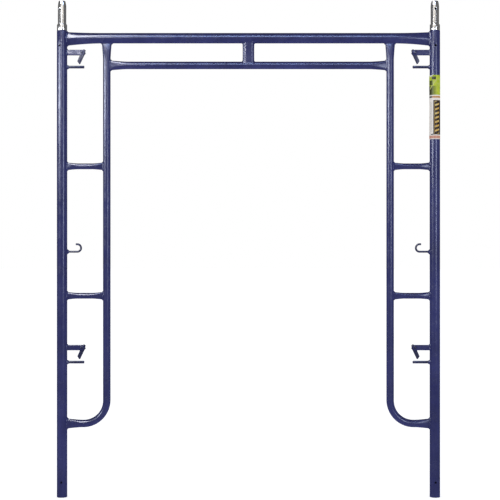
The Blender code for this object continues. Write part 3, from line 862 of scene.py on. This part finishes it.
def label_print():
    """Generic print: a lime picture block, two warm bands, a dark panel with plain gold bars.

    u runs round the leg and t down it, each from 0 to 1."""
    p = Paint("label_print")
    place_uv = p.tree.nodes.new("ShaderNodeTexCoord").outputs["UV"]
    u, v = p.part(place_uv, 0), p.part(place_uv, 1)
    t = p.math("SUBTRACT", 1.0, v)

    def within(value, a, b):
        return p.math("MULTIPLY", p.math("GREATER_THAN", value, a), p.math("LESS_THAN", value, b))

    def block(u0, u1, t0, t1):
        return p.math("MULTIPLY", within(u, u0, u1), within(t, t0, t1))

    def lean(slope):
        return p.math("ADD", t, p.math("MULTIPLY", u, slope))

    cream, olive, black = (0.90, 0.84, 0.77), (0.055, 0.060, 0.015), (0.045, 0.025, 0.012)
    grain = p.noise(900.0, 2.0)

    # picture block
    lime = p.mix(p.span(p.noise(45.0, 3.0), 0.35, 0.65), (0.42, 0.53, 0.025), (0.56, 0.64, 0.050))
    colour = p.mix(block(-1, 2, -1, 0.31), cream, lime)
    shade = p.math("MULTIPLY", block(-1, 0.62, 0.17, 0.31), p.span(u, 0.62, 0.24))
    colour = p.mix(shade, colour, olive)
    stripe = within(lean(0.36), 0.255, 0.285)
    colour = p.mix(p.math("MULTIPLY", stripe, block(0.08, 0.62, 0.07, 0.22)), colour,
                   (0.55, 0.60, 0.16))
    colour = p.mix(block(0.28, 0.52, 0.025, 0.070), colour, olive)
    colour = p.mix(block(0.05, 0.33, 0.085, 0.160), colour, (0.09, 0.11, 0.01))
    colour = p.mix(block(0.05, 0.30, 0.0, 0.022), colour, (0.72, 0.72, 0.66))

    # warm band
    warm = p.mix(p.span(grain, 0.4, 0.6), (0.50, 0.22, 0.08), (0.64, 0.36, 0.15))
    colour = p.mix(block(0.30, 2, 0.327, 0.356), colour, warm)
    colour = p.mix(block(-1, 0.30, 0.327, 0.356), colour, (0.14, 0.13, 0.12))

    # dark panel with gold bars, and small plain dashes beside it
    colour = p.mix(block(0.369, 0.90, 0.392, 0.930), colour, black)
    bars = p.math("FRACT", p.math("MULTIPLY", lean(0.10), 15.0))
    bars = p.math("MULTIPLY", p.math("GREATER_THAN", bars, 0.58), block(0.47, 0.72, 0.405, 0.915))
    gold = p.mix(p.span(p.noise(120.0, 2.0), 0.4, 0.6), (0.62, 0.36, 0.06), (0.72, 0.56, 0.20))
    colour = p.mix(bars, colour, gold)
    spine = block(0.425, 0.450, 0.405, 0.915)
    colour = p.mix(p.math("MULTIPLY", spine, 0.6), colour, gold)
    dashes = p.math("GREATER_THAN", p.math("FRACT", p.math("MULTIPLY", t, 64.0)), 0.62)
    dashes = p.math("MULTIPLY", dashes, block(0.16, 0.31, 0.43, 0.90))
    colour = p.mix(p.math("MULTIPLY", dashes, 0.45), colour, (0.25, 0.24, 0.24))
    colour = p.mix(block(0.22, 0.36, 0.918, 0.934), colour, (0.03, 0.03, 0.03))

    # foot band, then wear over everything
    salmon = p.mix(p.span(grain, 0.4, 0.62), (0.58, 0.20, 0.12), (0.70, 0.46, 0.36))
    colour = p.mix(block(-1, 2, 0.945, 0.990), colour, salmon)
    worn = p.span(p.noise(60.0, 4.0), 0.60, 0.75, 0.0, 0.35)
    colour = p.mix(worn, colour, (0.60, 0.58, 0.55))
    p.set(Base_Color=colour, Roughness=p.span(grain, 0.3, 0.7, 0.34, 0.46))
    p.shader.inputs["Specular IOR Level"].default_value = 0.2
    p.bump((p.noise(70.0, 3.0), 0.15, 0.3 * MM))
    return p.mat


def paint_pieces():
    finishes = {
        "blue_paint": enamel("blue_enamel", deep=(0.027, 0.030, 0.118),
                             light=(0.040, 0.045, 0.170), wear=0.60, roughness=0.22),
        "dark_paint": enamel("dark_enamel", deep=(0.018, 0.020, 0.066),
                             light=(0.030, 0.033, 0.100), wear=0.56, roughness=0.30),
        "zinc": zinc(),
        "label_print": label_print(),
    }
    for obj, slot in PIECES:
        obj.data.materials.clear()
        obj.data.materials.append(finishes[slot])


# ---- studio ------------------------------------------------------------------------------------------
def make_floor():
    floor = mesh_object("studio_floor", [(-40, -40, 0), (40, -40, 0), (40, 60, 0), (-40, 60, 0)],
                        [(0, 1, 2, 3)])
    p = Paint("pale_floor")
    p.set(Base_Color=p.mix(p.noise(0.7, 3.0), (0.86, 0.86, 0.86), (0.90, 0.90, 0.90)),
          Roughness=0.8)
    p.set(Emission_Color=(1.0, 1.0, 1.0), Emission_Strength=0.62)
    floor.data.materials.append(p.mat)
    floor.visible_glossy = False


def make_world():
    """White where it is seen, softer where it lights the frame, dim where it is mirrored."""
    world = bpy.data.worlds.new("studio")
    bpy.context.scene.world = world
    world.use_nodes = True
    tree = world.node_tree
    tree.nodes.clear()

    def background(colour, strength):
        node = tree.nodes.new("ShaderNodeBackground")
        node.inputs[0].default_value, node.inputs[1].default_value = (*colour, 1), strength
        return node.outputs[0]

    def either(share, a, b):
        node = tree.nodes.new("ShaderNodeMixShader")
        for socket, source in zip(node.inputs, (share, a, b)):
            tree.links.new(source, socket)
        return node.outputs[0]

    rays = tree.nodes.new("ShaderNodeLightPath").outputs
    seen = background((1, 1, 1), 1.0)
    soft = background((0.93, 0.95, 1), 0.60)
    mirrored = background((0.8, 0.85, 1), 0.07)
    unseen = either(rays["Is Glossy Ray"], soft, mirrored)
    out = tree.nodes.new("ShaderNodeOutputWorld")
    tree.links.new(either(rays["Is Camera Ray"], unseen, seen), out.inputs[0])


def area_light(name, at, aim, width, height, power, colour):
    """A soft panel that only shows as a highlight."""
    data = bpy.data.lights.new(name, "AREA")
    data.shape, data.size, data.size_y = "RECTANGLE", width, height
    data.energy, data.color = power, colour
    lamp = bpy.data.objects.new(name, data)
    bpy.context.scene.collection.objects.link(lamp)
    lamp.rotation_euler = (Vector(aim) - Vector(at)).to_track_quat("-Z", "Y").to_euler()
    lamp.location = at
    lamp.visible_camera = False
    lamp.visible_diffuse = False


def make_lights():
    """Positions and sizes in metres, power in watts."""
    area_light("key", (-3.9, -2.5, 2.17), (-0.7, 0, 2.17), 3.2, 0.5, 135, (0.80, 0.86, 1.0))
    area_light("window", (2.4, -3.9, 1.75), (0.1, 0, 1.6), 1.2, 1.7, 62, (0.74, 0.82, 1.0))
    area_light("band", (-0.35, -1.9, 2.60), (-0.35, 0, 2.1), 3.0, 0.6, 7.5, (1.0, 0.97, 0.93))
    area_light("glow", (-1.05, -2.6, 2.22), (-0.68, 0, 1.82), 0.3, 0.4, 12, (0.92, 0.92, 1.0))
    area_light("high", (0.0, -2.0, 3.3), (0.0, 0, 1.87), 1.9, 0.45, 52, (0.42, 0.58, 1.0))
    area_light("high_left", (-1.55, -2.0, 3.9), (-0.7, 0, 1.87), 1.3, 1.4, 150, (0.9, 0.92, 1.0))


def make_camera():
    """Straight on, so far to the right and so high that the frame sits as in the photo."""
    distance, right, height = 5.0, 0.0063, 1.009
    picture, scale, sensor = 500, 0.2446, 36.0       # pixels, pixels to the millimetre, mm
    data = bpy.data.cameras.new("camera")
    camera = bpy.data.objects.new("camera", data)
    bpy.context.scene.collection.objects.link(camera)
    data.sensor_width = sensor
    data.lens = scale * distance / MM * sensor / picture
    camera.location = (right, -distance, height)
    camera.rotation_euler = (math.radians(90), 0, 0)
    data.clip_end = 200
    bpy.context.scene.camera = camera


make_legs()
make_pins()
make_crossings()
make_spacer()
make_posts()
for word, side in SIDES:
    for level in LEVELS:
        make_lock(word, side, level)
    make_hook(word, side)
make_label()
for word, welds in WELDS.items():
    place(welds.finish(word + "_weld_beads"), "frame", "blue_paint")
paint_pieces()
make_floor()
make_world()
make_lights()
make_camera()
bpy.context.scene.view_settings.view_transform = "Standard"
